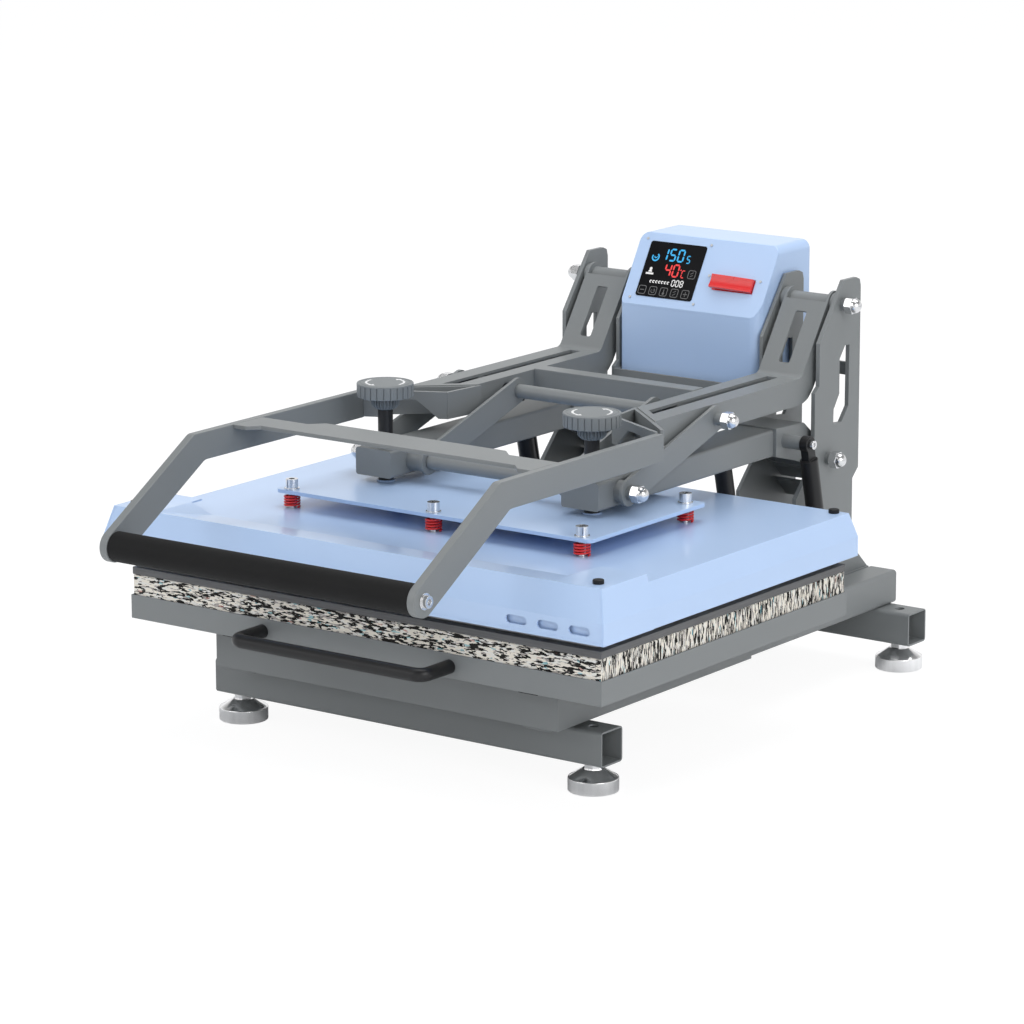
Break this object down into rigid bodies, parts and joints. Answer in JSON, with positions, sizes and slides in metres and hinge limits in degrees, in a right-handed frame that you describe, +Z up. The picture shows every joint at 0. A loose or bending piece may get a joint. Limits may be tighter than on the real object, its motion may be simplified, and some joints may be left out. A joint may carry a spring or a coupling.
{
  "type": "large format heat press",
  "caption": "Large swing-up transfer press with a linked toggle handle, floating heated platen, twin pressure screws, pull-out lower drawer and control box.",
  "frame": {"origin": "on the floor, under the middle of the machine's width and depth", "axes": "+Z up, +Y from the grip towards the control box, +X to the right seen from the grip"},
  "size_m": [0.6354, 0.8634, 0.4611],
  "materials": {
    "grey_coat": "satin powder coat",
    "blue_coat": "satin powder coat",
    "chrome": "polished",
    "black_steel": "satin",
    "black_rubber": "matte",
    "black_plastic": "matte",
    "red_plastic": "gloss",
    "red_steel": "gloss",
    "knob_grey": "matte",
    "aluminium": "cast",
    "felt": "speckled felt",
    "silicone": "matte",
    "glass_fibre": "blanket",
    "board": "varnished",
    "display": "gloss",
    "steel": "bright"
  },
  "bodies": {
    "base": {"base_cross_tubes": "grey_coat", "base_rails": "grey_coat", "base_apron": "grey_coat", "rear_deck": "grey_coat", "slide_channels": "steel", "uprights": "grey_coat", "upright_ties": "grey_coat", "pivot_bolts": "chrome", "gas_brackets": "grey_coat", "box_tray": "grey_coat", "box_shell": "blue_coat", "box_panel": "blue_coat", "display_glass": "display", "panel_screws": "steel", "switch_well": "black_plastic", "controller_board": "board", "power_inlet": "black_plastic"},
    "handle": {"handle_arms": "grey_coat", "handle_bushes": "grey_coat", "cross_beam": "grey_coat", "handle_gussets": "grey_coat", "handle_bars": "grey_coat", "bridge_plate": "grey_coat", "grip": "black_rubber", "grip_screws": "chrome"},
    "link": {"link_plates": "grey_coat", "link_rods": "grey_coat", "link_nuts": "chrome"},
    "press_arm": {"press_arms": "grey_coat", "arm_cheeks": "grey_coat", "arm_bushes": "grey_coat", "link_pivots": "chrome", "spring_studs": "chrome"},
    "pressure": {"pressure_plate": "blue_coat", "platen_springs": "red_steel"},
    "screw_set_left": {"screw_left": "black_steel", "knob_left": "knob_grey"},
    "screw_set_right": {"screw_right": "black_steel", "knob_right": "knob_grey"},
    "platen": {"heating_plate": "aluminium", "heating_element": "steel", "insulation": "glass_fibre", "cover": "blue_coat", "cover_cap": "blue_coat", "cover_plugs": "black_plastic", "plate_bolts": "chrome"},
    "drawer": {"drawer_tray": "grey_coat", "felt_pad": "felt", "silicone_sheet": "silicone", "drawer_handle": "black_steel", "drawer_runners": "steel"},
    "outer_cylinders": {"gas_cylinders_outer": "black_steel"},
    "outer_rods": {"gas_rods_outer": "steel"},
    "inner_cylinders": {"gas_cylinders_inner": "black_steel"},
    "inner_rods": {"gas_rods_inner": "steel"},
    "rocker": {"switch_rocker": "red_plastic"},
    "leg_front_left": {"foot_front_left": "chrome"},
    "leg_front_right": {"foot_front_right": "chrome"},
    "leg_rear_left": {"foot_rear_left": "chrome"},
    "leg_rear_right": {"foot_rear_right": "chrome"}
  },
  "joints": [
    {"name": "handle_lift", "type": "hinge", "parent": "base", "child": "handle", "pos_m": [0, 0.36833, 0.405], "axis": [-1, 0, 0], "range_deg": [0, 64]},
    {"name": "press_arm_swing", "type": "hinge", "parent": "base", "child": "press_arm", "pos_m": [0, 0.34132, 0.2393], "axis": [-1, 0, 0], "range_deg": [0, 35.78]},
    {"name": "link_swing", "type": "hinge", "parent": "press_arm", "child": "link", "pos_m": [0, -0.03268, 0.2695], "axis": [1, 0, 0], "range_deg": [0, 56.87]},
    {"name": "outer_spring_swing", "type": "hinge", "parent": "press_arm", "child": "outer_cylinders", "pos_m": [0, 0.27182, 0.2695], "axis": [1, 0, 0], "range_deg": [0, 23.6]},
    {"name": "outer_spring_stroke", "type": "slide", "parent": "outer_cylinders", "child": "outer_rods", "axis": [0, 0.2265, -0.974], "range_m": [0, 0.03111]},
    {"name": "inner_spring_swing", "type": "hinge", "parent": "press_arm", "child": "inner_cylinders", "pos_m": [0, 0.19182, 0.269], "axis": [1, 0, 0], "range_deg": [0, 23.7]},
    {"name": "inner_spring_stroke", "type": "slide", "parent": "inner_cylinders", "child": "inner_rods", "axis": [0, 0.2332, -0.9724], "range_m": [0, 0.07562]},
    {"name": "pressure_adjust", "type": "slide", "parent": "press_arm", "child": "pressure", "axis": [0, 0, 1], "range_m": [0, 0.006]},
    {"name": "knob_left_turn", "type": "hinge", "parent": "pressure", "child": "screw_set_left", "pos_m": [-0.133, -0.04918, 0.345], "axis": [0, 0, 1], "range_deg": [0, 1081]},
    {"name": "knob_right_turn", "type": "hinge", "parent": "pressure", "child": "screw_set_right", "pos_m": [0.133, -0.04918, 0.345], "axis": [0, 0, 1], "range_deg": [0, 1081]},
    {"name": "platen_float", "type": "slide", "parent": "pressure", "child": "platen", "axis": [0, 0, 1], "range_m": [0, 0.004], "stiffness_N_per_m": 12000, "springref_m": -0.004, "deforming": ["platen_springs"]},
    {"name": "drawer_slide", "type": "slide", "parent": "base", "child": "drawer", "axis": [0, -1, 0], "range_m": [0, 0.28]},
    {"name": "switch_rock", "type": "hinge", "parent": "base", "child": "rocker", "pos_m": [0.0468, 0.34466, 0.41533], "axis": [0, -0.5062, -0.8624], "range_deg": [0, 8]},
    {"name": "foot_front_left_screw", "type": "slide", "parent": "base", "child": "leg_front_left", "axis": [0, 0, -1], "range_m": [0, 0.01]},
    {"name": "foot_front_right_screw", "type": "slide", "parent": "base", "child": "leg_front_right", "axis": [0, 0, -1], "range_m": [0, 0.01]},
    {"name": "foot_rear_left_screw", "type": "slide", "parent": "base", "child": "leg_rear_left", "axis": [0, 0, -1], "range_m": [0, 0.01]},
    {"name": "foot_rear_right_screw", "type": "slide", "parent": "base", "child": "leg_rear_right", "axis": [0, 0, -1], "range_m": [0, 0.01]}
  ],
  "couplings": [
    {"joint": "press_arm_swing", "follows": "handle_lift", "ratio": 0.55892},
    {"joint": "link_swing", "follows": "handle_lift", "ratio": 0.88844},
    {"joint": "outer_spring_swing", "follows": "handle_lift", "ratio": 0.36854},
    {"joint": "outer_spring_stroke", "follows": "handle_lift", "m_per_rad": 0.027839},
    {"joint": "inner_spring_swing", "follows": "handle_lift", "ratio": 0.37019},
    {"joint": "inner_spring_stroke", "follows": "handle_lift", "m_per_rad": 0.067691},
    {"joint": "knob_left_turn", "follows": "pressure_adjust", "rad_per_m": 3141.6},
    {"joint": "knob_right_turn", "follows": "pressure_adjust", "rad_per_m": 3141.6}
  ]
}
